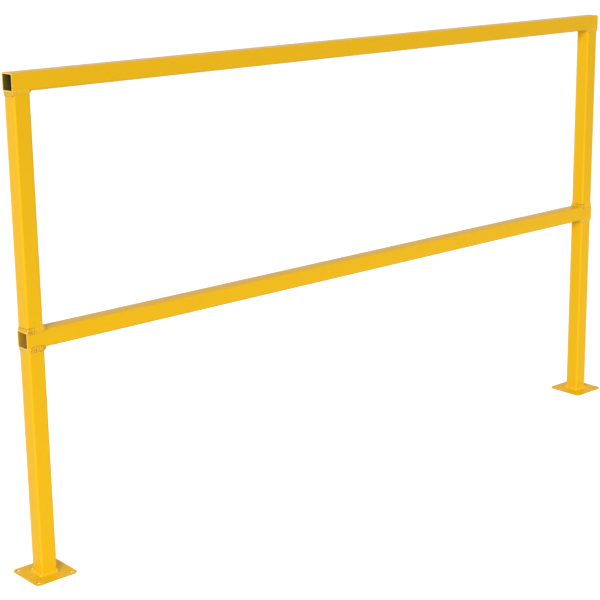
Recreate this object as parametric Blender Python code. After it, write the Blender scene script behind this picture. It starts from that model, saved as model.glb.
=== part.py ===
"""Industrial guard rail: two square-tube rails welded through two tube posts on bolted base plates.

Units are metres and +Z is up. The origin is on the floor, midway between the two posts.
X runs along the rails, and Y runs across them.
"""

import math
from collections import namedtuple

import bmesh
import bpy

# Overall sizes
RAIL_LENGTH = 1.8288  # both rails, sawn end to sawn end (72 in)
TOP_RAIL_TOP = 1.0668  # floor to the top face of the top rail (42 in)
MID_RAIL_TOP = 0.53975  # floor to the top face of the mid rail (21 1/4 in)
END_OVERHANG = 0.0020  # how far each rail runs past the outer face of the post

# Square tube, one section for rails and posts (1 1/2 in, 11 gauge)
TUBE_WIDTH = 0.0381
TUBE_WALL = 0.00305
TUBE_CORNER_RADIUS = 0.0045
TUBE_LEAST_INNER_RADIUS = 0.0005
TUBE_CORNER_STEPS = 7
SAWN_EDGE_ROUND = 0.0003

# Base plate with a hole for an anchor near each corner
PLATE_WIDTH = 0.1016
PLATE_DEPTH = 0.1016
PLATE_THICKNESS = 0.003175
PLATE_CORNER_RADIUS = 0.0095
PLATE_CORNER_STEPS = 7
PLATE_EDGE_ROUND = 0.0006
HOLE_DIAMETER = 0.0095
HOLE_EDGE_DISTANCE = 0.0103  # plate edge to hole centre
HOLE_STEPS = 28

# Weld beads at the rails. The reach is how far a bead stands out from the post, the leg lies on the
# post, and the cap climbs the rail. The flush faces are the front and the back, where the post and
# the rail are in line. The inner side faces the other post. The outer side has only the overhang.
# The left upper bead on the mid rail is fatter on its inner side than the right one.
RailBead = namedtuple("RailBead", "flush_reach flush_leg flush_cap inner_reach inner_leg outer_leg")
TOP_BEAD = RailBead(0.0024, 0.0055, 0.0045, 0.0034, 0.0040, 0.0090)
MID_UPPER_BEADS = {
    "left": RailBead(0.0030, 0.0080, 0.0058, 0.0078, 0.0078, 0.0070),
    "right": RailBead(0.0030, 0.0080, 0.0058, 0.0052, 0.0062, 0.0070),
}
MID_LOWER_BEAD = RailBead(0.0030, 0.0066, 0.0058, 0.0055, 0.0075, 0.0070)

# The fillet on a base plate is the same all round
BASE_BEAD_REACH = 0.0062
BASE_BEAD_LEG = 0.0068

# The shape that all beads share
BEAD_RIPPLE_DEPTH = 0.18  # share of the reach that is lost between two ripples
BEAD_FULLNESS = 1.35  # 1 is a half ellipse, 2 is a flat-faced fillet
BEAD_RIPPLES_PER_FLAT = 4
BEAD_CORNER_STEPS = 3
BEAD_PROFILE_STEPS = 3
BEAD_ROOT_INSET = 0.0009  # radius that is left inside a bead's turn round a post corner
BEAD_ROOT_HEIGHT = 0.9  # share of the leg up which the sunk root stands

# Pieces that touch keep this clearance
SEAT_GAP = 0.0003

# Finish: safety yellow powder coat over steel
COAT_YELLOW = (0.870, 0.480, 0.016, 1.0)
COAT_ROUGHNESS = 0.36
WELD_ROUGHNESS = 0.44

# Edges that turn by more than this stay sharp in the shading
SHARP_EDGE_DEGREES = 35

# Heights of the faces that the posts meet
TOP_RAIL_UNDERSIDE = TOP_RAIL_TOP - TUBE_WIDTH
MID_RAIL_UNDERSIDE = MID_RAIL_TOP - TUBE_WIDTH
POST_CENTRE_X = RAIL_LENGTH / 2 - END_OVERHANG - TUBE_WIDTH / 2
SIDES = (("left", -1), ("right", 1))


def clear_scene():
    """Remove the objects of the file that this script starts in."""
    for old in list(bpy.data.objects):
        bpy.data.objects.remove(old, do_unlink=True)


def new_collection(name):
    """Make a collection under the scene's own."""
    collection = bpy.data.collections.new(name)
    bpy.context.scene.collection.children.link(collection)
    return collection


def powder_coat(name, roughness):
    """Glossy yellow powder coat: one Principled shader with the finish's plain values."""
    material = bpy.data.materials.new(name)
    material.use_nodes = True
    shader = material.node_tree.nodes["Principled BSDF"]
    shader.inputs["Base Color"].default_value = COAT_YELLOW
    shader.inputs["Roughness"].default_value = roughness
    shader.inputs["Metallic"].default_value = 0.0
    material.diffuse_color = COAT_YELLOW
    return material


def rounded_rectangle(width, depth, radius, steps):
    """Outline with arcs at its corners, counter-clockwise, as (x, y) points."""
    points = []
    for corner in range(4):
        start = corner * math.pi / 2
        centre_x = math.copysign(width / 2 - radius, math.cos(start + math.pi / 4))
        centre_y = math.copysign(depth / 2 - radius, math.sin(start + math.pi / 4))
        for step in range(steps + 1):
            angle = start + math.pi / 2 * step / steps
            points.append((centre_x + radius * math.cos(angle), centre_y + radius * math.sin(angle)))
    return points


def circle(centre, diameter, steps):
    """Outline of a round hole as (x, y) points."""
    turns = [2 * math.pi * step / steps for step in range(steps)]
    return [(centre[0] + diameter / 2 * math.cos(a), centre[1] + diameter / 2 * math.sin(a)) for a in turns]


def extruded_outlines(name, outlines, thickness, edge_round, collection):
    """Fill flat outlines, the later ones as holes, and extrude them both ways along local Z."""
    curve = bpy.data.curves.new(name, "CURVE")
    curve.dimensions = "2D"
    curve.fill_mode = "BOTH"
    curve.extrude = thickness / 2 - edge_round
    curve.bevel_depth = edge_round
    curve.bevel_resolution = 0
    curve.offset = -edge_round
    for outline in outlines:
        spline = curve.splines.new("POLY")
        spline.points.add(len(outline) - 1)
        spline.use_cyclic_u = True
        for point, (x, y) in zip(spline.points, outline):
            point.co = (x, y, 0, 1)
    guide = bpy.data.objects.new(name, curve)
    collection.objects.link(guide)
    solid = mesh_from_curve(guide, collection)
    solid.name = name
    return solid


def mesh_from_curve(guide, collection):
    """Turn a curve object into a mesh object in the same place, with its caps welded on."""
    bpy.context.view_layer.update()
    evaluated = guide.evaluated_get(bpy.context.evaluated_depsgraph_get())
    mesh = bpy.data.meshes.new_from_object(evaluated)
    shape = bmesh.new()
    shape.from_mesh(mesh)
    bmesh.ops.remove_doubles(shape, verts=shape.verts, dist=0.000001)
    bmesh.ops.recalc_face_normals(shape, faces=shape.faces)
    shape.to_mesh(mesh)
    shape.free()
    solid = bpy.data.objects.new(guide.name, mesh)
    solid.matrix_world = guide.matrix_world
    collection.objects.link(solid)
    curve = guide.data
    bpy.data.objects.remove(guide, do_unlink=True)
    bpy.data.curves.remove(curve)
    return solid


def smooth_with_sharp_edges(solid):
    """Shade the curved faces smooth and keep the true edges sharp."""
    solid.data.shade_smooth()
    solid.data.set_sharp_from_angle(angle=math.radians(SHARP_EDGE_DEGREES))


def square_tube(name, length, edge_round, collection):
    """Straight length of square tube along local Z, open at both ends."""
    outer = rounded_rectangle(TUBE_WIDTH, TUBE_WIDTH, TUBE_CORNER_RADIUS, TUBE_CORNER_STEPS)
    bore = TUBE_WIDTH - 2 * TUBE_WALL
    bore_radius = max(TUBE_CORNER_RADIUS - TUBE_WALL, TUBE_LEAST_INNER_RADIUS)
    inner = rounded_rectangle(bore, bore, bore_radius, TUBE_CORNER_STEPS)
    return extruded_outlines(name, (outer, inner), length, edge_round, collection)


def rail(name, top_height, model):
    """Horizontal tube that runs over both posts and stays open at its sawn ends."""
    tube = square_tube(name, RAIL_LENGTH, SAWN_EDGE_ROUND, model)
    tube.rotation_euler = (0, math.pi / 2, 0)
    tube.location = (0, 0, top_height - TUBE_WIDTH / 2)
    return tube


def post(name, side, bottom, top, model):
    """Upright tube between two faces, square-cut and held clear of both by the seat gap."""
    length = top - bottom - 2 * SEAT_GAP
    tube = square_tube(name, length, 0, model)
    tube.location = (side * POST_CENTRE_X, 0, (bottom + top) / 2)
    return tube


def base_plate(name, side, model):
    """Square foot with round corners and an anchor hole near each of them."""
    outline = rounded_rectangle(PLATE_WIDTH, PLATE_DEPTH, PLATE_CORNER_RADIUS, PLATE_CORNER_STEPS)
    hole_x = PLATE_WIDTH / 2 - HOLE_EDGE_DISTANCE
    hole_y = PLATE_DEPTH / 2 - HOLE_EDGE_DISTANCE
    holes = [circle((x, y), HOLE_DIAMETER, HOLE_STEPS) for x in (-hole_x, hole_x) for y in (-hole_y, hole_y)]
    plate = extruded_outlines(name, [outline] + holes, PLATE_THICKNESS, PLATE_EDGE_ROUND, model)
    plate.location = (side * POST_CENTRE_X, 0, PLATE_THICKNESS / 2)
    return plate


def block_cutter(name, width, depth, radius, length, cutters):
    """Solid prism along local Z, the outer shape of a piece grown by the seat gap on every side."""
    outline = rounded_rectangle(
        width + 2 * SEAT_GAP, depth + 2 * SEAT_GAP, radius + SEAT_GAP, TUBE_CORNER_STEPS)
    cutter = extruded_outlines(name, (outline,), length + 2 * SEAT_GAP, 0, cutters)
    cutter.hide_render = True
    cutter.display_type = "WIRE"
    return cutter


def rail_cutter(name, top_height, cutters):
    """Space that a rail takes up, bore included."""
    cutter = block_cutter(name, TUBE_WIDTH, TUBE_WIDTH, TUBE_CORNER_RADIUS, RAIL_LENGTH, cutters)
    cutter.rotation_euler = (0, math.pi / 2, 0)
    cutter.location = (0, 0, top_height - TUBE_WIDTH / 2)
    return cutter


def post_cutter(name, side, bottom, top, cutters):
    """Space that a post takes up, bore included."""
    length = top - bottom - 2 * SEAT_GAP
    cutter = block_cutter(name, TUBE_WIDTH, TUBE_WIDTH, TUBE_CORNER_RADIUS, length, cutters)
    cutter.location = (side * POST_CENTRE_X, 0, (bottom + top) / 2)
    return cutter


def plate_cutter(name, side, cutters):
    """Space that a base plate takes up."""
    cutter = block_cutter(name, PLATE_WIDTH, PLATE_DEPTH, PLATE_CORNER_RADIUS, PLATE_THICKNESS, cutters)
    cutter.location = (side * POST_CENTRE_X, 0, PLATE_THICKNESS / 2)
    return cutter


def path_round_post():
    """Points round the post's section with their outward normals, flat by flat and corner by corner."""
    flat = TUBE_WIDTH / 2 - TUBE_CORNER_RADIUS
    flat_steps = 2 * BEAD_RIPPLES_PER_FLAT
    path = []
    for face in range(4):
        turn = face * math.pi / 2
        normal = (math.cos(turn), math.sin(turn))
        along = (-normal[1], normal[0])
        for step in range(flat_steps):
            offset = flat * (2 * step / flat_steps - 1)
            x = normal[0] * TUBE_WIDTH / 2 + along[0] * offset
            y = normal[1] * TUBE_WIDTH / 2 + along[1] * offset
            path.append(((x, y), normal))
        centre = (flat * (normal[0] + along[0]), flat * (normal[1] + along[1]))
        for step in range(BEAD_CORNER_STEPS):
            angle = turn + math.pi / 2 * step / BEAD_CORNER_STEPS
            corner_normal = (math.cos(angle), math.sin(angle))
            x = centre[0] + TUBE_CORNER_RADIUS * corner_normal[0]
            y = centre[1] + TUBE_CORNER_RADIUS * corner_normal[1]
            path.append(((x, y), corner_normal))
    return path


def bead_profile(reach, leg, cap):
    """Cross-section of a bead as (outward, up) points, with its root sunk into what it joins."""
    profile = []
    for step in range(BEAD_PROFILE_STEPS + 1):
        angle = math.pi / 2 * step / BEAD_PROFILE_STEPS
        outward = reach * math.sin(angle) ** BEAD_FULLNESS
        profile.append((outward, leg * max(math.cos(angle), 0) ** BEAD_FULLNESS))
    for step in range(1, BEAD_PROFILE_STEPS + 1):
        angle = math.pi / 2 * step / BEAD_PROFILE_STEPS
        outward = reach * max(math.cos(angle), 0) ** BEAD_FULLNESS
        profile.append((outward, -cap * math.sin(angle) ** BEAD_FULLNESS))
    root = BEAD_ROOT_INSET - TUBE_CORNER_RADIUS
    profile.append((root, -2 * SEAT_GAP))
    profile.append((root, leg * BEAD_ROOT_HEIGHT))
    return profile


def bead_sizes(bead, normal, outer_side):
    """Reach, leg and cap of a bead on the face of the post that normal points from."""
    if bead is None:
        return BASE_BEAD_REACH, BASE_BEAD_LEG, 2 * SEAT_GAP
    if normal[0] * outer_side > 0:
        side_reach = END_OVERHANG - SEAT_GAP
        side_leg = bead.outer_leg
    else:
        side_reach = bead.inner_reach
        side_leg = bead.inner_leg
    across = normal[0] ** 2
    reach = bead.flush_reach * (1 - across) + side_reach * across
    leg = bead.flush_leg * (1 - across) + side_leg * across
    cap = bead.flush_cap * (1 - across) + 2 * SEAT_GAP * across
    return reach, leg, cap


def weld_bead(name, side, rail_bead, height, points_down, model):
    """Rippled bead round a post's end, lofted from profiles that change from face to face."""
    shape = bmesh.new()
    rings = []
    for number, ((x, y), normal) in enumerate(path_round_post()):
        reach, leg, cap = bead_sizes(rail_bead, normal, side)
        ripple = 1 - BEAD_RIPPLE_DEPTH * (number % 2)
        ring = []
        for outward, up in bead_profile(reach * ripple, leg * ripple, cap * ripple):
            place = (x + normal[0] * outward, y + normal[1] * outward, up)
            ring.append(shape.verts.new(place))
        rings.append(ring)
    for here, following in zip(rings, rings[1:] + rings[:1]):
        for low in range(len(here)):
            high = (low + 1) % len(here)
            shape.faces.new((here[low], here[high], following[high], following[low]))
    bmesh.ops.recalc_face_normals(shape, faces=shape.faces)
    mesh = bpy.data.meshes.new(name)
    shape.to_mesh(mesh)
    shape.free()
    bead = bpy.data.objects.new(name, mesh)
    bead.location = (side * POST_CENTRE_X, 0, height)
    if points_down:
        bead.rotation_euler = (math.pi, 0, 0)
    model.objects.link(bead)
    return bead


def cut_away(solid, cutter):
    """Take the cutter's space out of the solid."""
    cut = solid.modifiers.new("clear_of_" + cutter.name, "BOOLEAN")
    cut.operation = "DIFFERENCE"
    cut.solver = "EXACT"
    cut.object = cutter


def build_posts_and_welds(side_name, side, rail_spaces, model, cutters):
    """Two tubes, one plate and four beads that stand at one end of the guard rail."""
    tubes = (
        ("upper_post_" + side_name, MID_RAIL_TOP, TOP_RAIL_UNDERSIDE),
        ("lower_post_" + side_name, PLATE_THICKNESS, MID_RAIL_UNDERSIDE),
    )
    pieces = [post(name, side, bottom, top, model) for name, bottom, top in tubes]
    upper_space, lower_space = [
        post_cutter(name + "_space", side, bottom, top, cutters) for name, bottom, top in tubes]
    pieces.append(base_plate("base_plate_" + side_name, side, model))
    plate_space = plate_cutter("base_plate_" + side_name + "_space", side, cutters)
    upper_bead = MID_UPPER_BEADS[side_name]
    joints = (
        ("weld_top_", TOP_BEAD, TOP_RAIL_UNDERSIDE, True, upper_space, rail_spaces["top"]),
        ("weld_mid_upper_", upper_bead, MID_RAIL_TOP, False, upper_space, rail_spaces["mid"]),
        ("weld_mid_lower_", MID_LOWER_BEAD, MID_RAIL_UNDERSIDE, True, lower_space, rail_spaces["mid"]),
        ("weld_base_", None, PLATE_THICKNESS, False, lower_space, plate_space),
    )
    beads = []
    for prefix, rail_bead, height, points_down, post_space, face_space in joints:
        bead = weld_bead(prefix + side_name, side, rail_bead, height, points_down, model)
        cut_away(bead, post_space)
        cut_away(bead, face_space)
        beads.append(bead)
    return pieces, beads


def main():
    """Build the guard rail and hang every piece on one empty at the origin."""
    clear_scene()
    model = new_collection("guard_rail")
    cutters = new_collection("guard_rail_cutters")
    rail_heights = {"top": TOP_RAIL_TOP, "mid": MID_RAIL_TOP}
    pieces = [rail(name + "_rail", height, model) for name, height in rail_heights.items()]
    spaces = {
        name: rail_cutter(name + "_rail_space", height, cutters) for name, height in rail_heights.items()}
    beads = []
    for side_name, side in SIDES:
        side_pieces, side_beads = build_posts_and_welds(side_name, side, spaces, model, cutters)
        pieces += side_pieces
        beads += side_beads
    root = bpy.data.objects.new("guard_rail_root", None)
    model.objects.link(root)
    for piece in pieces + beads:
        roughness = WELD_ROUGHNESS if piece in beads else COAT_ROUGHNESS
        piece.data.materials.append(powder_coat(piece.name + "_coat", roughness))
        smooth_with_sharp_edges(piece)
        piece.parent = root


main()
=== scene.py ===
# %% [markdown]
# # Industrial guard rail
# A guard rail like this one stops people from stepping off a platform or into a truck's way.
# It is a weldment: two rails and four posts cut from one stock of square steel tube, set on two
# base plates, welded all round every joint and then powder coated safety yellow as one piece.
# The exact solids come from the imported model. This script gives each of them its finished
# surface, so it starts by loading that frame and keeping the box that the model fills.

# %% Load the frame
import math

import bmesh
import bpy
from mathutils import Matrix, Vector


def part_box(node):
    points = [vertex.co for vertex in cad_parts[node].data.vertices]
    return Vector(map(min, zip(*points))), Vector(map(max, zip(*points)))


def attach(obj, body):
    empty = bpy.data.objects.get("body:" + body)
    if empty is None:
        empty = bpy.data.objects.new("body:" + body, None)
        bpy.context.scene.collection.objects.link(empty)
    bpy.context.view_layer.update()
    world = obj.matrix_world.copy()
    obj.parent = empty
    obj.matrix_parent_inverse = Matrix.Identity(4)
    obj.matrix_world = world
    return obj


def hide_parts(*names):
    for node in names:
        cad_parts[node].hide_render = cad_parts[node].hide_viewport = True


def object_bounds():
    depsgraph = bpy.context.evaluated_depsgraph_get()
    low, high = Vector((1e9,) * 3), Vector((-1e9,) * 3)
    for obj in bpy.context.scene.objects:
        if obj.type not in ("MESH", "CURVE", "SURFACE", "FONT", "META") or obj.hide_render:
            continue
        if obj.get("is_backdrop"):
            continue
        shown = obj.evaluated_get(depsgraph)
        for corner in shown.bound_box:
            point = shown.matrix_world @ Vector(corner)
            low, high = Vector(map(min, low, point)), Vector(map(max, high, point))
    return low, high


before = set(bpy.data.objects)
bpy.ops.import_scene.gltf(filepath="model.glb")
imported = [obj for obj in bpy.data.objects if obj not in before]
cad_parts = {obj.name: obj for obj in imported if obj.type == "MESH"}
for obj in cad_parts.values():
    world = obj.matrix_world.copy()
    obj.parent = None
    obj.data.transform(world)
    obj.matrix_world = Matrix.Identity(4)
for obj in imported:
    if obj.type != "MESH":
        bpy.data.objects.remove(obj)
cad_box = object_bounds()
print("frame:", len(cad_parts), "nodes,", [round(b - a, 4) for a, b in zip(*cad_box)], "m")

# %% [markdown]
# ## Sizes
# A size that the frame can tell is read from it, so that the surfaces made here land where the
# solids are. Only what a box can't tell, such as a wall or a radius, is written down again.

# %% Sizes from the frame, and the few that a box can't tell
SIDES = {"left": -1, "right": 1}
rail_low, rail_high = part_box("top_rail")
plate_low, plate_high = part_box("base_plate_right")
TUBE_WIDTH = rail_high.z - rail_low.z
RAIL_LENGTH = rail_high.x - rail_low.x
PLATE_WIDTH = plate_high.x - plate_low.x
PLATE_THICKNESS = plate_high.z - plate_low.z
POST_X = (plate_low.x + plate_high.x) / 2
END_OVERHANG = RAIL_LENGTH / 2 - POST_X - TUBE_WIDTH / 2
TUBE_WALL = 0.00305
TUBE_CORNER = 0.0045
PLATE_CORNER = 0.0095
HOLE_DIAMETER = 0.0095
HOLE_SPACING = 0.0810
print("tube", round(TUBE_WIDTH, 4), "m wide, posts at x =", round(POST_X, 4), "m")

# %% [markdown]
# ## Camera
# The photograph was taken from the front left, a little above the top rail, with a long lens.
# Fitting the straight edges of the rails, posts and plates to the picture gave the camera's
# place, its lens and a small turn away from a first rough look. A small vertical shift stands
# for a picture that was cropped off centre.

# %% Camera at the photograph's viewing angle
CAMERA_PLACE = Vector((-2.42960, -2.59693, 1.40023))
CAMERA_LENS_PIXELS = 1505.95
FIRST_PLACE = Vector((-1.2, -3.0, 1.6))
FIRST_TARGET = Vector((0.9, 0, 0.5))
FITTED_TURN = Vector((-0.04637, -0.10366, -0.04207))
IMAGE_PIXELS = 600
OPTICAL_CENTRE_ROW = 271.2
SENSOR_MM = 36


def first_look(place, target):
    """Rows that point right, down and forward for a camera at place that looks at target."""
    forward = (target - place).normalized()
    right = forward.cross(Vector((0, 0, 1))).normalized()
    return Matrix((right, forward.cross(right), forward))


turn_from_first = Matrix.Rotation(FITTED_TURN.length, 3, FITTED_TURN.normalized())
right, down, forward = turn_from_first @ first_look(FIRST_PLACE, FIRST_TARGET)
camera_data = bpy.data.cameras.new("photo_camera")
camera_data.sensor_width = SENSOR_MM
camera_data.lens = CAMERA_LENS_PIXELS / IMAGE_PIXELS * SENSOR_MM
camera_data.shift_y = (OPTICAL_CENTRE_ROW - IMAGE_PIXELS / 2) / IMAGE_PIXELS
camera = bpy.data.objects.new("photo_camera", camera_data)
camera.matrix_world = Matrix((right, -down, -forward)).transposed().to_4x4()
camera.location = CAMERA_PLACE
bpy.context.scene.collection.objects.link(camera)
bpy.context.scene.camera = camera
print("lens", round(camera_data.lens, 1), "mm, shift", round(camera_data.shift_y, 3))

# %% [markdown]
# ## Wiring nodes
# Materials, the world and geometry trees are all nodes with links between their sockets. One
# small class adds a node, links what is a socket and types in what is a value, so that the
# cells below read like formulas.

# %% A helper for wiring nodes, used by every material and every geometry tree
class Wiring:
    """Adds nodes to a tree. A value that is a socket is linked, and any other is typed in."""

    def __init__(self, tree):
        self.tree = tree

    def add(self, kind, inputs=None, **settings):
        """New node with these settings. Its inputs are linked or typed in."""
        node = self.tree.nodes.new(kind)
        for name, value in settings.items():
            setattr(node, name, value)
        for key, value in (inputs or {}).items():
            if isinstance(value, bpy.types.NodeSocket):
                self.tree.links.new(value, node.inputs[key])
            else:
                node.inputs[key].default_value = value
        return node

    def math(self, operation, *values):
        """Number that a Math node makes of one or more numbers."""
        node = self.add("ShaderNodeMath", dict(enumerate(values)), operation=operation)
        return node.outputs[0]

    def vector(self, operation, *values):
        """What a Vector Math node makes of one or more vectors."""
        node = self.add("ShaderNodeVectorMath", dict(enumerate(values)), operation=operation)
        return node.outputs["Value" if operation == "DOT_PRODUCT" else "Vector"]

    def point(self, **parts):
        """Vector put together from the parts named X, Y and Z. The others are 0."""
        return self.add("ShaderNodeCombineXYZ", parts).outputs[0]

    def part(self, vector, axis):
        """One part of a vector."""
        return self.add("ShaderNodeSeparateXYZ", {0: vector}).outputs[axis]

    def mix(self, factor, low, high):
        """Number between low and high."""
        node = self.add("ShaderNodeMix", {0: factor, 2: low, 3: high}, data_type="FLOAT")
        return node.outputs[0]

    def blend(self, factor, low, high):
        """Colour between low and high."""
        node = self.add("ShaderNodeMix", {0: factor, 6: low, 7: high}, data_type="RGBA")
        return node.outputs[2]

    def ramp(self, value, start, end, low=0.0, high=1.0):
        """Number that goes from low to high while value goes from start to end."""
        node = self.add("ShaderNodeMapRange", {
            "Value": value, "From Min": start, "From Max": end, "To Min": low, "To Max": high})
        return node.outputs[0]


def empty_material(name):
    """Node material with nothing in it yet, and its wiring."""
    material = bpy.data.materials.new(name)
    material.use_nodes = True
    material.node_tree.nodes.clear()
    return material, Wiring(material.node_tree)


print("wiring helper ready")

# %% [markdown]
# ## Light and floor
# Catalogue pictures are shot on a white sweep with large soft lamps. Here the world gives the
# even fill, and one wide lamp from the front left lights the faces that look at the camera. A
# small, weak one behind keeps the back from going dull. A long strip with a narrow beam stands
# low in front and is aimed at the feet, so the posts grow brighter downwards. It is kept out of
# reflections, because it would leave a pale band on the gloss.
#
# The white comes from what the camera sees of the world and the floor, and not from more light
# on the yellow paint. The floor is still an ordinary pale surface, so the plates keep their
# contact shadow.

# %% World
WHITE = (1, 1, 1, 1)
FILL_STRENGTH = 0.44


def seen_or_mirrored(wiring):
    """1 for a ray that shows a background: straight to the camera, in gloss or through glass."""
    path = wiring.add("ShaderNodeLightPath")
    seen = wiring.math("MAXIMUM", path.outputs["Is Camera Ray"], path.outputs["Is Glossy Ray"])
    return wiring.math("MAXIMUM", seen, path.outputs["Is Transmission Ray"])


world = bpy.data.worlds.new("white_studio")
bpy.context.scene.world = world
world.use_nodes = True
world.node_tree.nodes.clear()
sky = Wiring(world.node_tree)
sky_strength = sky.mix(seen_or_mirrored(sky), FILL_STRENGTH, 1.0)
backdrop = sky.add("ShaderNodeBackground", {"Color": WHITE, "Strength": sky_strength})
sky.add("ShaderNodeOutputWorld", {"Surface": backdrop.outputs[0]})
print("world fill", FILL_STRENGTH)

# %% Lamps
FRAME_MIDDLE = (0, 0, 0.5)
BELOW_THE_FEET = (0, 0, -0.12)
STRIP_SPREAD = math.radians(62)


def soft_lamp(name, place, target, width, height, watts):
    """Soft box at place that faces target."""
    lamp_data = bpy.data.lights.new(name, "AREA")
    lamp_data.shape = "RECTANGLE"
    lamp_data.size = width
    lamp_data.size_y = height
    lamp_data.energy = watts
    lamp = bpy.data.objects.new(name, lamp_data)
    lamp.location = place
    lamp.rotation_euler = (Vector(target) - Vector(place)).to_track_quat("-Z", "Y").to_euler()
    bpy.context.scene.collection.objects.link(lamp)
    print(name, "at", place, "with", watts, "W")
    return lamp


soft_lamp("key_soft_box", (-21.6, -13.2, 10.9), FRAME_MIDDLE, width=11.0, height=11.0, watts=4560)
soft_lamp("rear_soft_box", (4.0, 27.0, 2.2), FRAME_MIDDLE, width=4.0, height=4.0, watts=640)
foot_strip = soft_lamp("foot_strip", (0.0, -3.0, 0.62), BELOW_THE_FEET, width=8.0, height=0.3, watts=9.0)
foot_strip.data.spread = STRIP_SPREAD
foot_strip.visible_glossy = False
foot_strip.visible_camera = False

# %% Floor
FLOOR_GREY = (0.84, 0.84, 0.84, 1)
FLOOR_GLOW = 0.62
FLOOR_SIZE = 60

floor_mesh = bpy.data.meshes.new("studio_floor")
floor_shape = bmesh.new()
bmesh.ops.create_grid(floor_shape, x_segments=1, y_segments=1, size=FLOOR_SIZE / 2)
floor_shape.to_mesh(floor_mesh)
floor_shape.free()
floor = bpy.data.objects.new("studio_floor", floor_mesh)
bpy.context.scene.collection.objects.link(floor)
floor_paint, sweep = empty_material("pale_floor")
matte = sweep.add("ShaderNodeBsdfDiffuse", {"Color": FLOOR_GREY})
glow_strength = sweep.math("MULTIPLY", seen_or_mirrored(sweep), FLOOR_GLOW)
glow = sweep.add("ShaderNodeEmission", {"Color": WHITE, "Strength": glow_strength})
both = sweep.add("ShaderNodeAddShader", {0: matte.outputs[0], 1: glow.outputs[0]})
sweep.add("ShaderNodeOutputMaterial", {"Surface": both.outputs[0]})
floor_mesh.materials.append(floor_paint)
floor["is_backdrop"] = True
print("floor", FLOOR_SIZE, "m wide")

# %% [markdown]
# ## The coat
# Powder coat is sprayed on dry and melted in an oven. It levels into a thick skin with a faint
# orange peel, a few millimetres from bump to bump, and its gloss wanders a little over the
# surface. A picture of it would slide over the tubes or show seams, so the pattern is worked
# out from the place in the object itself. It is a group, because the tubes, the plates, the
# beads and the tube mouths all wear the same coat with other values.

# %% Shared shader group: the powder film
COAT_YELLOW = (0.905, 0.520, 0.004, 1)
COAT_DEEP = (0.850, 0.440, 0.003, 1)
CLOUDS_PER_METRE = 9
SPECKS_PER_METRE = 260
PEEL_PER_METRE = 420
GRAINS_PER_METRE = 1900
CLOUD_SHARE = 0.7
SPECK_SHARE = 0.3
GRAIN_SHARE = 0.18
GLOSS_WANDER = 0.10


def socket_kind(value):
    """Kind of socket that holds a value like this one. No value stands for a material."""
    if value is None:
        return "NodeSocketMaterial"
    if isinstance(value, tuple):
        return "NodeSocketColor" if len(value) == 4 else "NodeSocketVector"
    return "NodeSocketInt" if isinstance(value, int) else "NodeSocketFloat"


def name_inputs(tree, inputs):
    """Gives a tree one named input for each value, which it also starts from."""
    for label, value in inputs.items():
        socket = tree.interface.new_socket(label, in_out="INPUT", socket_type=socket_kind(value))
        if value is not None:
            socket.default_value = value


def noise(wiring, place, scale, detail):
    """Soft noise between 0 and 1 at a place, with scale bumps a metre and detail finer layers."""
    node = wiring.add("ShaderNodeTexNoise", {"Vector": place, "Scale": scale, "Detail": detail})
    return node.outputs[0]


def make_powder_film():
    """Group that turns a place into the coat's colour, its roughness and the height of its peel."""
    group = bpy.data.node_groups.new("powder_film", "ShaderNodeTree")
    name_inputs(group, {
        "Coat": COAT_YELLOW, "Deep": COAT_DEEP, "Roughness": 0.36, "Wander": 0.5, "Peel": 1.0})
    group.interface.new_socket("Color", in_out="OUTPUT", socket_type="NodeSocketColor")
    group.interface.new_socket("Roughness", in_out="OUTPUT", socket_type="NodeSocketFloat")
    group.interface.new_socket("Height", in_out="OUTPUT", socket_type="NodeSocketFloat")
    w = Wiring(group)
    given = w.add("NodeGroupInput").outputs
    place = w.add("ShaderNodeTexCoord").outputs["Object"]
    cloud = noise(w, place, CLOUDS_PER_METRE, 3)
    speck = noise(w, place, SPECKS_PER_METRE, 2)
    peel = noise(w, place, PEEL_PER_METRE, 2)
    grain = noise(w, place, GRAINS_PER_METRE, 1)
    mottle = w.math("MULTIPLY_ADD", cloud, CLOUD_SHARE, w.math("MULTIPLY", speck, SPECK_SHARE))
    tint = w.math("MULTIPLY", mottle, given["Wander"])
    gloss_shift = w.math("SUBTRACT", speck, 0.5)
    skin = w.math("MULTIPLY_ADD", grain, GRAIN_SHARE, peel)
    w.add("NodeGroupOutput", {
        "Color": w.blend(tint, given["Coat"], given["Deep"]),
        "Roughness": w.math("MULTIPLY_ADD", gloss_shift, GLOSS_WANDER, given["Roughness"]),
        "Height": w.math("MULTIPLY", skin, given["Peel"])})
    return group


powder_film = make_powder_film()
print("group", powder_film.name, "with", len(powder_film.nodes), "nodes")

# %% [markdown]
# ## From film to coat
# Every coat is the film, wired into a Principled shader, with the film's height in a Bump node.
# The specular level stays low, because a saturated yellow with a white sheen over it turns
# pale, and the real coat keeps its colour right into the highlight.

# %% One recipe for all coats
COAT_SPECULAR = 0.14
COAT_IOR = 1.5
PEEL_DEPTH = 0.00004


def powder(wiring, values):
    """Outputs of the powder film in a material, with some of its values changed."""
    return wiring.add("ShaderNodeGroup", values, node_tree=powder_film).outputs


def coat_shader(wiring, film, color, specular=COAT_SPECULAR):
    """Principled shader and output for one coat, with the film's gloss and bumps."""
    bump = wiring.add("ShaderNodeBump", {"Distance": PEEL_DEPTH, "Height": film["Height"]})
    shader = wiring.add("ShaderNodeBsdfPrincipled", {
        "Base Color": color, "Roughness": film["Roughness"], "Normal": bump.outputs[0],
        "Specular IOR Level": specular, "IOR": COAT_IOR})
    wiring.add("ShaderNodeOutputMaterial", {"Surface": shader.outputs[0]})


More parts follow.
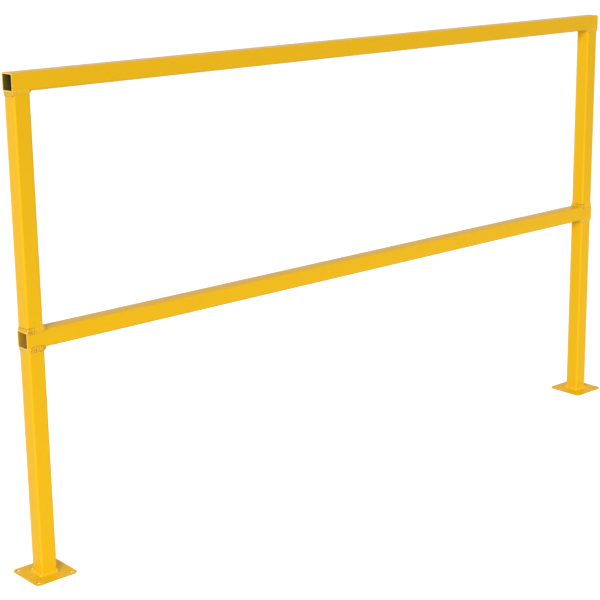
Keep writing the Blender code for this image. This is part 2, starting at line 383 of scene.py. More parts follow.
def facing_along(wiring, axis, start, end):
    """Mask that grows from 0 to 1 while the surface's lean along an axis goes from start to end."""
    normal = wiring.add("ShaderNodeNewGeometry").outputs["Normal"]
    return wiring.ramp(wiring.math("ABSOLUTE", wiring.part(normal, axis)), start, end)


print("peel", PEEL_DEPTH * 1000, "mm deep")

# %% [markdown]
# ## Tubes and plates
# The tubes are smooth, and their coat is even. In the photograph the rims of the rails are paler than
# their sides, so their sawn ends get a painted highlight, a paler yellow. The plates get a little more
# roughness and peel, as on plain plate with a coarser skin, and a slightly lighter yellow, which is
# painted light for the extra light that they catch. Their sheared edges get painted shade, a deeper
# yellow. The painted highlight and the painted shade both follow the way that a face looks, so the
# direction of the surface is the mask, and no picture is needed.

# %% The sprayed coat of rails, posts and plates
TUBE_ROUGHNESS = 0.36
PLATE_ROUGHNESS = 0.46
FLAT_WANDER = 0.40
PLATE_PEEL = 1.3
# Painted highlight on the rails' sawn rims: a paler yellow.
RIM_HIGHLIGHT_YELLOW = (0.97, 0.63, 0.075, 1)
# The plates wear the same coat as the tubes, painted a little lighter as painted light for the extra
# light that they catch.
PLATE_YELLOW_PAINTED_LIGHTER = (0.98, 0.600, 0.008, 1)
PLATE_DEEP_PAINTED_LIGHTER = (0.90, 0.50, 0.006, 1)
# Painted shade on the plates' edges: a deeper yellow, how much of it, and the lean of face that gets it.
EDGE_SHADE_YELLOW = (0.62, 0.33, 0.004, 1)
EDGE_SHADE_SHARE = 0.8
# Lean of an end face that gets the painted rim highlight.
RIM_HIGHLIGHT_LEAN = (0.5, 0.95)
PLATE_EDGE_SHADE_LEAN = (0.9, 0.1)


def tube_coat(name, painted_rim_highlight):
    """Yellow powder coat of a tube, with a painted highlight, a paler yellow, on a sawn end."""
    material, w = empty_material(name)
    film = powder(w, {"Roughness": TUBE_ROUGHNESS, "Wander": FLAT_WANDER})
    color = film["Color"]
    if painted_rim_highlight:
        # Painted highlight: the sawn end faces turn a paler yellow.
        rim_highlight = facing_along(w, "X", *RIM_HIGHLIGHT_LEAN)
        color = w.blend(rim_highlight, color, RIM_HIGHLIGHT_YELLOW)
    coat_shader(w, film, color)
    return material


def edge_shaded_plate_coat(name):
    """Yellow powder coat of a plate, painted a little lighter, with painted shade, a deeper yellow, on
    its sheared edge.
    """
    material, w = empty_material(name)
    film = powder(w, {
        "Coat": PLATE_YELLOW_PAINTED_LIGHTER, "Deep": PLATE_DEEP_PAINTED_LIGHTER, "Roughness": PLATE_ROUGHNESS,
        "Wander": FLAT_WANDER, "Peel": PLATE_PEEL})
    # Painted shade: the side faces of the plate turn a deeper yellow.
    edge_shade = facing_along(w, "Z", *PLATE_EDGE_SHADE_LEAN)
    color = w.blend(w.math("MULTIPLY", edge_shade, EDGE_SHADE_SHARE), film["Color"], EDGE_SHADE_YELLOW)
    coat_shader(w, film, color)
    return material


rail_coat = tube_coat("rail_powder_coat", painted_rim_highlight=True)
post_coat = tube_coat("post_powder_coat", painted_rim_highlight=False)
plate_coat = edge_shaded_plate_coat("plate_powder_coat")
print("coats:", rail_coat.name, post_coat.name, plate_coat.name)

# %% [markdown]
# ## Inside a rail
# The rails stay open, and powder only drifts a little way into a tube. At the mouth the wall still has
# some yellow. Deeper in, the film thins out over dark mill scale, and the colour also holds painted
# shade, growing darker towards the inside of the bore. The distance from the sawn end gives the fade,
# with some noise so that the edge of the cloud is uneven. In the photograph the mid rail looks lighter
# inside than the top rail, so the mid rail's mouth is painted lighter and its fade reaches deeper, and
# the top rail's mouth is painted darker, as painted shade.

# %% The bore of a rail
# Bore colours with painted shade in them: dark scale deep in, a dark mouth for the top rail and a
# lighter one for the mid rail.
MILL_SCALE_AND_SHADE = (0.030, 0.026, 0.021, 1)
TOP_MOUTH_IN_SHADE = (0.19, 0.155, 0.016, 1)
MID_MOUTH_IN_SHADE = (0.62, 0.37, 0.04, 1)
TOP_REACH = 0.012
MID_REACH = 0.060
BORE_ROUGHNESS = 0.55
BORE_SPECULAR = 0.3
DEEPER = 0.6
RAGS_PER_METRE = 70
RAGGED = 0.8
FADE_START = 0.5
FADE_END = 2.2


def bore_coat(name, mouth_colour, reach):
    """Thin overspray at the mouth of a rail that fades to mill scale and painted shade deeper in."""
    material, w = empty_material(name)
    deep_colour = [DEEPER * level for level in mouth_colour[:3]] + [1]
    film = powder(w, {"Coat": mouth_colour, "Deep": deep_colour, "Roughness": BORE_ROUGHNESS})
    place = w.add("ShaderNodeTexCoord").outputs["Object"]
    depth = w.math("SUBTRACT", RAIL_LENGTH / 2, w.math("ABSOLUTE", w.part(place, "X")))
    cloud = noise(w, place, RAGS_PER_METRE, 3)
    ragged = w.math("MULTIPLY_ADD", cloud, reach * RAGGED, depth)
    fade = w.ramp(ragged, reach * FADE_START, reach * FADE_END)
    # Painted shade: the colour darkens towards the inside of the bore.
    coat_shader(w, film, w.blend(fade, film["Color"], MILL_SCALE_AND_SHADE), BORE_SPECULAR)
    return material


top_bore = bore_coat("top_rail_bore", TOP_MOUTH_IN_SHADE, TOP_REACH)
mid_bore = bore_coat("mid_rail_bore", MID_MOUTH_IN_SHADE, MID_REACH)
print("bores:", top_bore.name, mid_bore.name)

# %% [markdown]
# ## Growing a mesh from a geometry tree
# Square tube is a rule rather than a sculpture: one section, drawn out along a line. A plate
# and a weld bead follow rules too. Such a rule can be built as a node tree and run again with
# other lengths, so tubes, plates and beads are all made in this way, and what their trees have
# in common comes first. The last helper runs a tree on an object, turns the result into a plain
# mesh and takes the modifier off again, so that what is left is an ordinary piece.

# %% Helpers that build a geometry tree
MERGE_DISTANCE = 0.000001
PLACING = {"Turn": (0, 0, 0), "Place": (0, 0, 0), "Coat": None}


def geometry_tree(name, inputs):
    """Geometry tree with named inputs, its wiring, and the sockets that its inputs come from."""
    tree = bpy.data.node_groups.new(name, "GeometryNodeTree")
    name_inputs(tree, {**inputs, **PLACING})
    tree.interface.new_socket("Geometry", in_out="OUTPUT", socket_type="NodeSocketGeometry")
    wiring = Wiring(tree)
    return tree, wiring, wiring.add("NodeGroupInput").outputs


def joined(wiring, *parts):
    """One geometry out of several."""
    join = wiring.add("GeometryNodeJoinGeometry")
    for part in parts:
        wiring.tree.links.new(part, join.inputs[0])
    return join.outputs[0]


def stored(wiring, geometry, name, value, kind, domain="POINT"):
    """Geometry that keeps a value under a name at each of its points or faces."""
    return wiring.add("GeometryNodeStoreNamedAttribute", {
        "Geometry": geometry, "Name": name, "Value": value}, data_type=kind, domain=domain).outputs[0]


def recalled(wiring, name, kind):
    """The value that was kept under a name."""
    return wiring.add("GeometryNodeInputNamedAttribute", {"Name": name}, data_type=kind).outputs[0]


def rounded_square(wiring, width, radius, steps):
    """Outline of a square with round corners of so many steps."""
    square = wiring.add("GeometryNodeCurvePrimitiveQuadrilateral", {"Width": width, "Height": width})
    return wiring.add("GeometryNodeFilletCurve", {
        "Curve": square.outputs[0], "Count": steps, "Radius": radius}, mode="POLY").outputs[0]


def raised(wiring, outlines, height):
    """Closed solid between outlines, from Z 0 to a height. The extrusion leaves its bottom open."""
    flat = wiring.add("GeometryNodeFillCurve", {"Curve": outlines}, mode="NGONS").outputs[0]
    drawn = wiring.add("GeometryNodeExtrudeMesh", {
        "Mesh": flat, "Offset": wiring.point(Z=height), "Offset Scale": 1.0, "Individual": False},
        mode="FACES").outputs[0]
    turned_over = wiring.add("GeometryNodeFlipFaces", {"Mesh": flat}).outputs[0]
    return wiring.add("GeometryNodeMergeByDistance", {
        "Geometry": joined(wiring, drawn, turned_over), "Distance": MERGE_DISTANCE}).outputs[0]


def coated(wiring, geometry, given):
    """Smooth and plain geometry at its place, in its coat."""
    placed = wiring.add("GeometryNodeTransform", {
        "Geometry": geometry, "Translation": given["Place"], "Rotation": given["Turn"]}).outputs[0]
    smooth = wiring.add("GeometryNodeSetShadeSmooth", {
        "Geometry": placed, "Shade Smooth": True}).outputs[0]
    plain = wiring.add("GeometryNodeRealizeInstances", {"Geometry": smooth}).outputs[0]
    return wiring.add("GeometryNodeSetMaterial", {
        "Geometry": plain, "Material": given["Coat"]}).outputs[0]


print("every tree also has the inputs", ", ".join(PLACING))

# %% A helper that runs a geometry tree
SHARP_ANGLE = math.radians(40)


def grown(name, tree, values, edge_round=0, edge_segments=2):
    """Object called name that holds what the tree makes of these values, as a plain mesh."""
    piece = bpy.data.objects.new(name, bpy.data.meshes.new(name))
    bpy.context.scene.collection.objects.link(piece)
    rule = piece.modifiers.new(tree.name, "NODES")
    rule.node_group = tree
    inputs = [socket for socket in tree.interface.items_tree if socket.in_out == "INPUT"]
    identifier_of = {socket.name: socket.identifier for socket in inputs}
    for label, value in values.items():
        rule[identifier_of[label]] = value
    if edge_round:
        bevel = piece.modifiers.new("eased_edges", "BEVEL")
        bevel.width = edge_round
        bevel.segments = edge_segments
        bevel.limit_method = "ANGLE"
        bevel.angle_limit = SHARP_ANGLE
        bevel.use_clamp_overlap = False
        piece.modifiers.new("flat_faces_stay_flat", "WEIGHTED_NORMAL")
    bpy.context.view_layer.update()
    depsgraph = bpy.context.evaluated_depsgraph_get()
    made = bpy.data.meshes.new_from_object(piece.evaluated_get(depsgraph))
    piece.modifiers.clear()
    piece.data = made
    made.name = name
    print(name, len(made.polygons), "faces")
    return piece


print("edges over", round(math.degrees(SHARP_ANGLE)), "degrees can be eased")

# %% [markdown]
# ## Square tube
# The tree draws two rounded squares, fills the ring between them and extrudes it. The bottom of
# an extruded face stays open, so the flat ring goes back in turned over, and the two are merged.
# Tube like this is rolled from strip and welded along its length. The flash of that weld stays
# inside as a low ridge, which is seen in the open mouth of a rail, so the tree adds it as well.
# The faces of the bore are marked, because they get a coat of their own.

# %% Geometry tree: a length of square tube
SMALLEST_RADIUS = 0.0005
BORE_MARGIN = 0.0005
SEAM_STEPS = 10
SEAM_SPREAD = 1.8
SEAM_OFFSET = 0.35


def seam_ridge(w, given, half_bore):
    """Low round ridge along the floor of the bore, a little off its middle."""
    line = w.add("GeometryNodeCurvePrimitiveLine", {"End": w.point(Z=given["Length"])}).outputs[0]
    circle = w.add("GeometryNodeCurvePrimitiveCircle", {
        "Resolution": SEAM_STEPS, "Radius": 1.0}).outputs[0]
    half_width = w.math("MULTIPLY", given["Seam Height"], SEAM_SPREAD)
    section = w.add("GeometryNodeTransform", {
        "Geometry": circle, "Scale": w.point(X=half_width, Y=given["Seam Height"], Z=1.0)}).outputs[0]
    ridge = w.add("GeometryNodeCurveToMesh", {
        "Curve": line, "Profile Curve": section, "Fill Caps": True}).outputs[0]
    on_floor = w.point(
        X=w.math("MULTIPLY", half_bore, SEAM_OFFSET), Y=w.math("MULTIPLY", half_bore, -1.0))
    return w.add("GeometryNodeTransform", {"Geometry": ridge, "Translation": on_floor}).outputs[0]


def faces_in_bore(w, half_bore):
    """Mask of the faces that lie no further out than the bore's wall and aren't an end."""
    place = w.add("GeometryNodeInputPosition").outputs[0]
    normal = w.add("GeometryNodeInputNormal").outputs[0]
    from_axis = w.math(
        "MAXIMUM", w.math("ABSOLUTE", w.part(place, "X")), w.math("ABSOLUTE", w.part(place, "Y")))
    within = w.math("LESS_THAN", from_axis, w.math("ADD", half_bore, BORE_MARGIN))
    not_an_end = w.math("LESS_THAN", w.math("ABSOLUTE", w.part(normal, "Z")), 0.5)
    return w.math("MULTIPLY", within, not_an_end)


def square_tube_tree():
    """Tree for a straight tube along Z, centred on the origin, open at both ends."""
    tree, w, given = geometry_tree("square_tube", {
        "Width": TUBE_WIDTH, "Wall": TUBE_WALL, "Corner Radius": TUBE_CORNER, "Length": 1.0,
        "Corner Steps": 10, "Seam Height": 0.0006, "Bore": None})
    bore_width = w.math("SUBTRACT", given["Width"], w.math("MULTIPLY", given["Wall"], 2.0))
    bore_radius = w.math("SUBTRACT", given["Corner Radius"], given["Wall"])
    bore_radius = w.math("MAXIMUM", bore_radius, SMALLEST_RADIUS)
    outside = rounded_square(w, given["Width"], given["Corner Radius"], given["Corner Steps"])
    inside = rounded_square(w, bore_width, bore_radius, given["Corner Steps"])
    wall = raised(w, joined(w, outside, inside), given["Length"])
    half_bore = w.math("MULTIPLY", bore_width, 0.5)
    tube = joined(w, wall, seam_ridge(w, given, half_bore))
    tube = stored(w, tube, "in_bore", faces_in_bore(w, half_bore), "BOOLEAN", "FACE")
    half_down = w.point(Z=w.math("MULTIPLY", given["Length"], -0.5))
    centred = w.add("GeometryNodeTransform", {"Geometry": tube, "Translation": half_down}).outputs[0]
    w.add("NodeGroupOutput", {0: w.add("GeometryNodeSetMaterial", {
        "Geometry": coated(w, centred, given), "Selection": recalled(w, "in_bore", "BOOLEAN"),
        "Material": given["Bore"]}).outputs[0]})
    return tree


square_tube = square_tube_tree()
print("tree", square_tube.name, "with", len(square_tube.nodes), "nodes")

# %% [markdown]
# ## Rails and posts
# All six lengths are cut from the same stock, so one tree makes them. The rails lie along X,
# run past the posts and are open to view. The posts stand between them, and nobody sees into a
# post, so its inside takes the same coat as the mid rail's. The saw leaves a sharp edge that a
# file takes off before welding, which is the small bevel at the ends.

# %% Rails and posts
EASED_CUT = 0.00035
LYING_ALONG_X = (0, math.pi / 2, 0)
UPRIGHT = (0, 0, 0)


def tube_piece(node, coat, bore, turn, length):
    """Tube that stands for a node of the frame, in the middle of that node."""
    low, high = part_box(node)
    values = {"Length": length, "Turn": turn, "Place": (low + high) / 2, "Coat": coat, "Bore": bore}
    return grown(node + "_tube", square_tube, values, EASED_CUT)


dressed = {}
for node, bore in (("top_rail", top_bore), ("mid_rail", mid_bore)):
    dressed[node] = (tube_piece(node, rail_coat, bore, LYING_ALONG_X, RAIL_LENGTH), "rail_coat")
for side_name in SIDES:
    for node in ("upper_post_" + side_name, "lower_post_" + side_name):
        low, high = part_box(node)
        post = tube_piece(node, post_coat, mid_bore, UPRIGHT, high.z - low.z)
        dressed[node] = (post, "post_coat")

# %% [markdown]
# ## Base plates
# Each foot is a square of 1/8 in plate with round corners and four punched holes. The same rule
# as for the tube makes it: outline and holes, fill, extrude. The holes are one circle on the
# four points of a grid. The eased edges come from a bevel, because powder pulls back from a
# sharp edge and only holds on a slightly round one.

# %% Geometry tree: a plate with a hole near each corner
PLATE_CORNER_STEPS = 12
HOLE_STEPS = 48
EASED_PLATE_EDGE = 0.0007
PLATE_EDGE_SEGMENTS = 3


def base_plate_tree():
    """Tree for a plate that lies on Z 0, with rounded corners and four round holes."""
    tree, w, given = geometry_tree("base_plate", {
        "Width": PLATE_WIDTH, "Thickness": PLATE_THICKNESS, "Corner Radius": PLATE_CORNER,
        "Hole": HOLE_DIAMETER, "Hole Spacing": HOLE_SPACING})
    outline = rounded_square(w, given["Width"], given["Corner Radius"], PLATE_CORNER_STEPS)
    hole = w.add("GeometryNodeCurvePrimitiveCircle", {
        "Resolution": HOLE_STEPS, "Radius": w.math("MULTIPLY", given["Hole"], 0.5)}).outputs[0]
    pattern = w.add("GeometryNodeMeshGrid", {
        "Size X": given["Hole Spacing"], "Size Y": given["Hole Spacing"],
        "Vertices X": 2, "Vertices Y": 2}).outputs[0]
    holes = w.add("GeometryNodeInstanceOnPoints", {"Points": pattern, "Instance": hole}).outputs[0]
    holes = w.add("GeometryNodeRealizeInstances", {"Geometry": holes}).outputs[0]
    plate = raised(w, joined(w, outline, holes), given["Thickness"])
    w.add("NodeGroupOutput", {0: coated(w, plate, given)})
    return tree


base_plate = base_plate_tree()
for side_name, side in SIDES.items():
    node = "base_plate_" + side_name
    values = {"Place": (side * POST_X, 0, 0), "Coat": plate_coat}
    foot = grown(node + "_foot", base_plate, values, EASED_PLATE_EDGE, PLATE_EDGE_SEGMENTS)
    dressed[node] = (foot, "plate_coat")

# %% [markdown]
# ## Weld beads
# A bead is a row of frozen puddles. Each puddle overlaps the last, so the surface is a chain of
# crescents, and the width wanders with the welder's hand. It isn't the same all round: where the
# post is flush with the side of a rail the bead is a low strip that fills the groove over the
# rail's round edge, and on the inner side it is a fat fillet. At the end of the rail there is
# only a narrow ledge for it.
#
# The rule is a path round the post, a section with a different half-width in each quarter, and
# ripples that bend with the puddle. That is the work of a tree: Curve to Mesh sweeps a ring
# along the path, and Set Position gives each point its real place. For that, each point has to
# know its foot on the path, how far round it is, and how far the section has turned, so these
# three are stored on the curves before the sweep.

# %% A ring round the post, and the side of the post that a point is on
PATH_CORNER_STEPS = 16
SWEEP_RADIUS = 0.001


def swept_ring(w, given):
    """Closed thin ring whose points remember their foot, their share of the way and their turn."""
    share_of_way = w.add("GeometryNodeSplineParameter").outputs["Factor"]
    here = w.add("GeometryNodeInputPosition").outputs[0]
    path = rounded_square(w, given["Post Width"], given["Post Corner"], PATH_CORNER_STEPS)
    path = w.add("GeometryNodeResampleCurve", {"Curve": path, "Count": given["Path Steps"]}).outputs[0]
    path = stored(w, path, "foot", here, "FLOAT_VECTOR")
    path = stored(w, path, "around", share_of_way, "FLOAT")
    section = w.add("GeometryNodeCurvePrimitiveCircle", {
        "Resolution": given["Section Steps"], "Radius": SWEEP_RADIUS}).outputs[0]
    section = stored(w, section, "turn", share_of_way, "FLOAT")
    return w.add("GeometryNodeCurveToMesh", {"Curve": path, "Profile Curve": section}).outputs[0]


def side_of_post(w, given, foot):
    """Direction away from the post at a foot, how much it points endways, and 1 on the outer side."""
    flat = w.math("SUBTRACT", w.math("MULTIPLY", given["Post Width"], 0.5), given["Post Corner"])
    high_corner = w.point(X=flat, Y=flat)
    low_corner = w.vector("MULTIPLY", high_corner, (-1, -1, 0))
    core = w.vector("MAXIMUM", w.vector("MINIMUM", foot, high_corner), low_corner)
    outward = w.vector("NORMALIZE", w.vector("SUBTRACT", foot, core))
    sideways = w.part(outward, "X")
    endways = w.math("MULTIPLY", sideways, sideways)
    at_outer = w.math("GREATER_THAN", w.math("MULTIPLY", sideways, given["Outer Side"]), 0.0)
    return outward, endways, at_outer


print("ring with corners of", PATH_CORNER_STEPS, "steps")

# %% [markdown]
# ## The welder's hand
# No welder keeps an even pace. Some stretches of a bead stand up in lively lumps with dark gaps
# beside them, and others run out smooth and quiet. Three noises stand for this: one for the
# width, one for the stutter of the puddles, and a slow one for the mood, which makes a stretch
# lively or quiet. A direction can be given in which the bead is livelier or calmer.

# %% Lumps, moods and puddles
LUMPS_PER_METRE = 90
STUTTERS_PER_METRE = 150
MOODS_PER_METRE = 24
STUTTER_PLACE = (0.7, 0.2, 0.4)
MOOD_PLACE = (3.1, 0.4, 0.0)
QUIET_MOOD = 0.42
LIVELY_MOOD = 0.58
STUTTER_SHARE = 0.9
PUDDLE_ROUNDNESS = 0.65
FINE_RIPPLES = 4


def welders_hand(w, given, bead_place, outward):
    """Lumps in the width, stutter of the puddles and liveliness at a place on the bead."""
    lump = w.math("SUBTRACT", noise(w, bead_place, LUMPS_PER_METRE, 2), 0.5)
    stutter = noise(w, w.vector("ADD", bead_place, STUTTER_PLACE), STUTTERS_PER_METRE, 1)
    mood = noise(w, w.vector("ADD", bead_place, MOOD_PLACE), MOODS_PER_METRE, 1)
    mood = w.math("ADD", mood, given["Unrest"])
    mood = w.math("ADD", mood, w.vector("DOT_PRODUCT", outward, given["Rough Side"]))
    liveliness = w.ramp(mood, QUIET_MOOD, LIVELY_MOOD, given["Quiet"])
    return lump, stutter, liveliness


def puddles(w, given, stutter, liveliness, open_side):
    """Share of the width that the puddles leave, depth of their valleys, and swing to each side."""
    bend = w.math("MULTIPLY", open_side, given["Crescent"])
    beat = w.math("MULTIPLY_ADD", recalled(w, "around", "FLOAT"), given["Puddles"], bend)
    beat = w.math("ADD", beat, w.math("MULTIPLY", stutter, STUTTER_SHARE))
    swing = w.math("SINE", w.math("MULTIPLY", beat, math.pi))
    crest = w.math("POWER", w.math("ABSOLUTE", swing), PUDDLE_ROUNDNESS)
    valley = w.math("MULTIPLY", w.math("SUBTRACT", 1.0, crest), liveliness)
    fine_swing = w.math("SINE", w.math("MULTIPLY", beat, FINE_RIPPLES * math.pi))
    fine_valley = w.math("SUBTRACT", 1.0, w.math("ABSOLUTE", fine_swing))
    left = w.math("SUBTRACT", 1.0, w.math("MULTIPLY", valley, given["Puddle Depth"]))
    left = w.math("SUBTRACT", left, w.math("MULTIPLY", fine_valley, given["Ripple Depth"]))
    return left, valley, swing


print("mood changes about", MOODS_PER_METRE, "times a metre")

# %% [markdown]
# ## The bead's section
# Three lengths make the section. The reach goes out from the post, the leg goes up along it,
# and the cap goes down past the joint, over the round edge of a rail. Where the bead sits on a
# flat surface the cap is only a sink of a fraction of a millimetre. The faces, the inner side
# and the outer side of the post have a reach and a leg of their own.
#
# Round the section, the sine of the turn says how far a point is out from the post and the cosine how
# high it is. Only the outer half shows, so that half has the puddles and the blobs, and the hidden half
# is a plain root. At the rail's end nothing may swell past the ledge. The tree also keeps how deep each
# point lies, between puddles or in the broken edge of the bead, called the toe, because the coat paints
# shade there.

# %% Parts of the section
TOE_START = 0.82
TOE_END = 0.96
LIVELY_TOE = 0.45
TOE_BITE = 2.0
HOLLOW_START = -0.03
HOLLOW_END = -0.20


def signed_power(w, value, power):
    """Value raised to a power, with its sign kept. Over 1 it flattens a round section a little."""
    return w.math("MULTIPLY", w.math("POWER", w.math("ABSOLUTE", value), power), w.math("SIGN", value))


def recess_shade_mask(w, valley, open_side, cosine, stutter, liveliness, blob):
    """Painted shade by how deep a point lies: in a valley between puddles, in a broken toe or between
    blobs.
    """
    at_toe = w.ramp(w.math("ABSOLUTE", cosine), TOE_START, TOE_END)
    bite = w.ramp(liveliness, LIVELY_TOE, 1.0, 0.0, TOE_BITE)
    broken_toe = w.math("MULTIPLY", at_toe, w.math("MULTIPLY", stutter, bite))
    hollow = w.ramp(blob, HOLLOW_START, HOLLOW_END)
    deepest = w.math("MAXIMUM", broken_toe, hollow)
    return w.math("MAXIMUM", w.math("MULTIPLY", valley, open_side), deepest)


print("toe where the cosine is over", TOE_START)

# %% Geometry tree: a rippled bead round a post
BEAD_INPUTS = {
    "Post Width": TUBE_WIDTH, "Post Corner": TUBE_CORNER,
    "Face Reach": 0.0030, "Face Leg": 0.008, "Face Cap": 0.0058,
    "Inner Reach": 0.007, "Inner Leg": 0.008, "Outer Reach": 0.0017, "Outer Leg": 0.009,
    "Outer Side": 1.0, "Sink": 0.0006, "Root": 0.0026, "Fullness": 1.35,
    "Puddles": 26, "Puddle Depth": 0.46, "Crescent": 0.55, "Weave": 0.07,
    "Ripple Depth": 0.07, "Wander": 0.40, "Rough Side": (0, 0, 0), "Unrest": 0.0,
    "Quiet": 0.20, "Blob Height": 0.0036, "Blobs per Metre": 170.0,
    "Path Steps": 400, "Section Steps": 44, "Seed": 0.0}


def weld_bead_tree():
    """Tree for one closed bead round a square post, on the plane Z 0 before it is placed."""
    tree, w, given = geometry_tree("weld_bead", BEAD_INPUTS)
    ring = swept_ring(w, given)
    foot = recalled(w, "foot", "FLOAT_VECTOR")
    outward, endways, at_outer = side_of_post(w, given, foot)
    bead_place = w.vector("ADD", foot, w.point(Z=given["Seed"]))
    lump, stutter, liveliness = welders_hand(w, given, bead_place, outward)

    def by_side(face, inner, outer):
        """Size on the post's faces along the rail, or on its inner or its outer side."""
        return w.mix(endways, face, w.mix(at_outer, inner, outer))

    held_in = w.math("SUBTRACT", 1.0, w.math("MULTIPLY", endways, at_outer))
    size = w.math("MULTIPLY_ADD", lump, given["Wander"], 1.0)
    swell = w.math("MULTIPLY_ADD", w.math("MULTIPLY", lump, held_in), given["Wander"], 1.0)
    reach = by_side(given["Face Reach"], given["Inner Reach"], given["Outer Reach"])
    reach = w.math("MULTIPLY", swell, reach)
    leg = by_side(given["Face Leg"], given["Inner Leg"], given["Outer Leg"])
    leg = w.math("MULTIPLY", size, leg)
    cap = w.math("MULTIPLY", size, by_side(given["Face Cap"], given["Sink"], given["Sink"]))

    angle = w.math("MULTIPLY", recalled(w, "turn", "FLOAT"), 2 * math.pi)
    sine = w.math("SINE", angle)
    cosine = w.math("COSINE", angle)
    open_side = w.math("MAXIMUM", sine, 0.0)
    left, valley, swing = puddles(w, given, stutter, liveliness, open_side)

    is_open = w.math("GREATER_THAN", sine, 0.0)
    half_out = w.mix(is_open, given["Root"], w.math("MULTIPLY", reach, left))
    half_up = w.mix(w.math("GREATER_THAN", cosine, 0.0), cap, leg)
    weave = w.math("MULTIPLY", w.math("MULTIPLY", swing, cosine), given["Weave"])
    out = w.math("MULTIPLY", signed_power(w, sine, given["Fullness"]), half_out)
    up = w.math("MULTIPLY", signed_power(w, cosine, given["Fullness"]), half_up)
    up = w.math("MULTIPLY", up, w.math("ADD", weave, 1.0))
    on_skin = w.vector("ADD", bead_place, w.point(Z=up))
    blob = w.math("SUBTRACT", noise(w, on_skin, given["Blobs per Metre"], 2), 0.5)
    blob = w.math("MULTIPLY", blob, w.math("MULTIPLY", open_side, liveliness))
    out = w.math("MULTIPLY_ADD", w.math("MULTIPLY", blob, held_in), given["Blob Height"], out)
    pushed = w.add("ShaderNodeVectorMath", {0: outward, "Scale": out}, operation="SCALE").outputs[0]
    real_place = w.vector("ADD", w.vector("ADD", foot, pushed), w.point(Z=up))
    bead = w.add("GeometryNodeSetPosition", {"Geometry": ring, "Position": real_place}).outputs[0]

    # Painted shade: how deep each point lies, for the coat to darken it.
    recess_shade = recess_shade_mask(w, valley, open_side, cosine, stutter, liveliness, blob)
    bead = stored(w, bead, "recess_shade", recess_shade, "FLOAT")
    for scratch in ("foot", "around", "turn"):
        bead = w.add("GeometryNodeRemoveAttribute", {"Geometry": bead, "Name": scratch}).outputs[0]
    w.add("NodeGroupOutput", {0: coated(w, bead, given)})
    return tree


weld_bead = weld_bead_tree()
print("tree", weld_bead.name, "with", len(weld_bead.nodes), "nodes")

# %% [markdown]
# ## The coat on a bead
# The valleys between the ripples, the broken toe and the hollows between the blobs get painted shade, a
# dark brown in the coat. The lumps keep the yellow, with more gloss than the tubes, so that each of them
# catches a small glint. The tree kept how deep each point lies as an attribute, and the material reads
# it.

# %% Coat for the beads, with painted shade between the ripples
BEAD_YELLOW = (0.95, 0.56, 0.005, 1)
# Painted shade in the bead's valleys, broken toe and hollows: a dark brown.
VALLEY_SHADE_BROWN = (0.30, 0.12, 0.001, 1)
BEAD_ROUGHNESS = 0.22
BEAD_WANDER = 0.5
BEAD_SPECULAR = 0.28


def bead_coat(name):
    """Powder coat that follows the ripples of a bead, with painted shade in its recesses."""
    material, w = empty_material(name)
    film = powder(w, {"Coat": BEAD_YELLOW, "Roughness": BEAD_ROUGHNESS, "Wander": BEAD_WANDER})
    recess_shade = w.add("ShaderNodeAttribute", attribute_name="recess_shade").outputs["Fac"]
    coat_shader(w, film, w.blend(recess_shade, film["Color"], VALLEY_SHADE_BROWN), BEAD_SPECULAR)
    return material


weld_coat = bead_coat("weld_powder_coat")
print("coat:", weld_coat.name)

# %% [markdown]
# ## Eight beads
# Each side of the frame has four beads: under the top rail, on top of the mid rail, under it,
# and on the base plate. Those under a rail are the same rule turned upside down. The sizes are
# read off the photograph for each kind of joint. The left joints are seen best, so they also
# say on which side their bead is lively. Each bead has a seed of its own, so no two are alike.

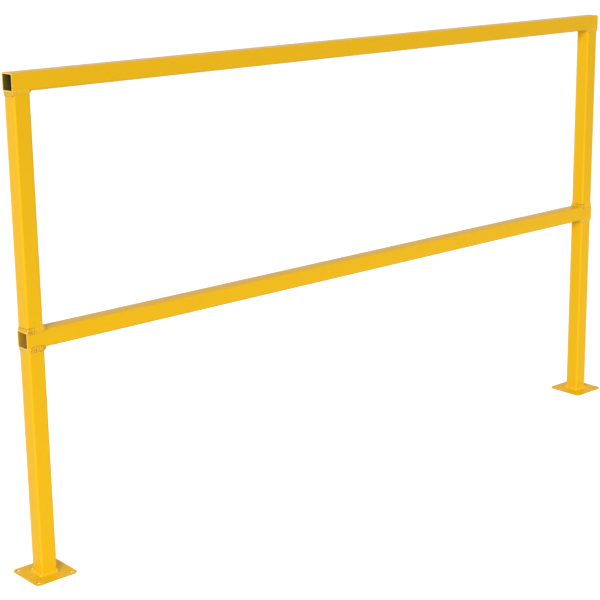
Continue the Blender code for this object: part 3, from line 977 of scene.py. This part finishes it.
# %% Eight beads
POINTS_DOWN = (math.pi, 0, 0)
LEDGE_CLEARANCE = 0.0003
LEDGE = END_OVERHANG - LEDGE_CLEARANCE
mid_low, mid_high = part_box("mid_rail")
JOINTS = (
    ("weld_top_", rail_low.z, POINTS_DOWN, {
        "Face Reach": 0.0024, "Face Leg": 0.0055, "Face Cap": 0.0045,
        "Inner Reach": 0.0034, "Inner Leg": 0.0040, "Outer Leg": 0.0090}),
    ("weld_mid_upper_", mid_high.z, UPRIGHT, {
        "Inner Reach": 0.0052, "Inner Leg": 0.0062, "Outer Leg": 0.0070}),
    ("weld_mid_lower_", mid_low.z, POINTS_DOWN, {
        "Face Leg": 0.0066, "Inner Reach": 0.0055, "Inner Leg": 0.0075, "Outer Leg": 0.0070}),
    ("weld_base_", PLATE_THICKNESS, UPRIGHT, {
        "Unrest": -0.10, "Face Reach": 0.0062, "Face Leg": 0.0068, "Face Cap": 0.0006,
        "Inner Reach": 0.0062, "Inner Leg": 0.0068, "Outer Leg": 0.0068, "Outer Reach": 0.0062}),
)
SEEN_IN_PHOTOGRAPH = {
    "weld_top_left": {"Rough Side": (-0.16, -0.06, 0)},
    "weld_mid_upper_left": {
        "Inner Reach": 0.0078, "Inner Leg": 0.0078, "Rough Side": (-0.20, -0.04, 0)},
    "weld_mid_lower_left": {"Rough Side": (0.04, 0.0, 0)},
    "weld_base_left": {"Rough Side": (-0.02, -0.04, 0)},
}
seed = 0
for side_name, side in SIDES.items():
    for prefix, height, turn, sizes in JOINTS:
        seed += 1
        node = prefix + side_name
        values = {
            "Outer Side": float(side), "Outer Reach": LEDGE, "Turn": turn, "Seed": float(seed),
            "Place": (side * POST_X, 0, height), "Coat": weld_coat,
            **sizes, **SEEN_IN_PHOTOGRAPH.get(node, {})}
        dressed[node] = (grown(node + "_bead", weld_bead, values), "weld_coat")

# %% [markdown]
# ## Dressing the frame
# Every piece rides on the one body of this welded frame and stands for its own solid. A solid
# stays in the collision model and is no longer drawn. Normals are set outward first, because a
# swept ring can come out inside out.

# %% Normals, bodies and the two boxes
for node, (piece, slot_name) in dressed.items():
    shape = bmesh.new()
    shape.from_mesh(piece.data)
    bmesh.ops.recalc_face_normals(shape, faces=shape.faces)
    open_edges = sum(1 for edge in shape.edges if not edge.is_manifold)
    shape.to_mesh(piece.data)
    shape.free()
    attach(piece, "root")
    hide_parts(node)
    if open_edges:
        print(piece.name, "has", open_edges, "open edges")

bpy.context.scene.view_settings.view_transform = "Standard"
look_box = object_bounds()
for label, box in (("solids", cad_box), ("looks", look_box)):
    print(label, [[round(value * 1000, 2) for value in corner] for corner in box], "mm")
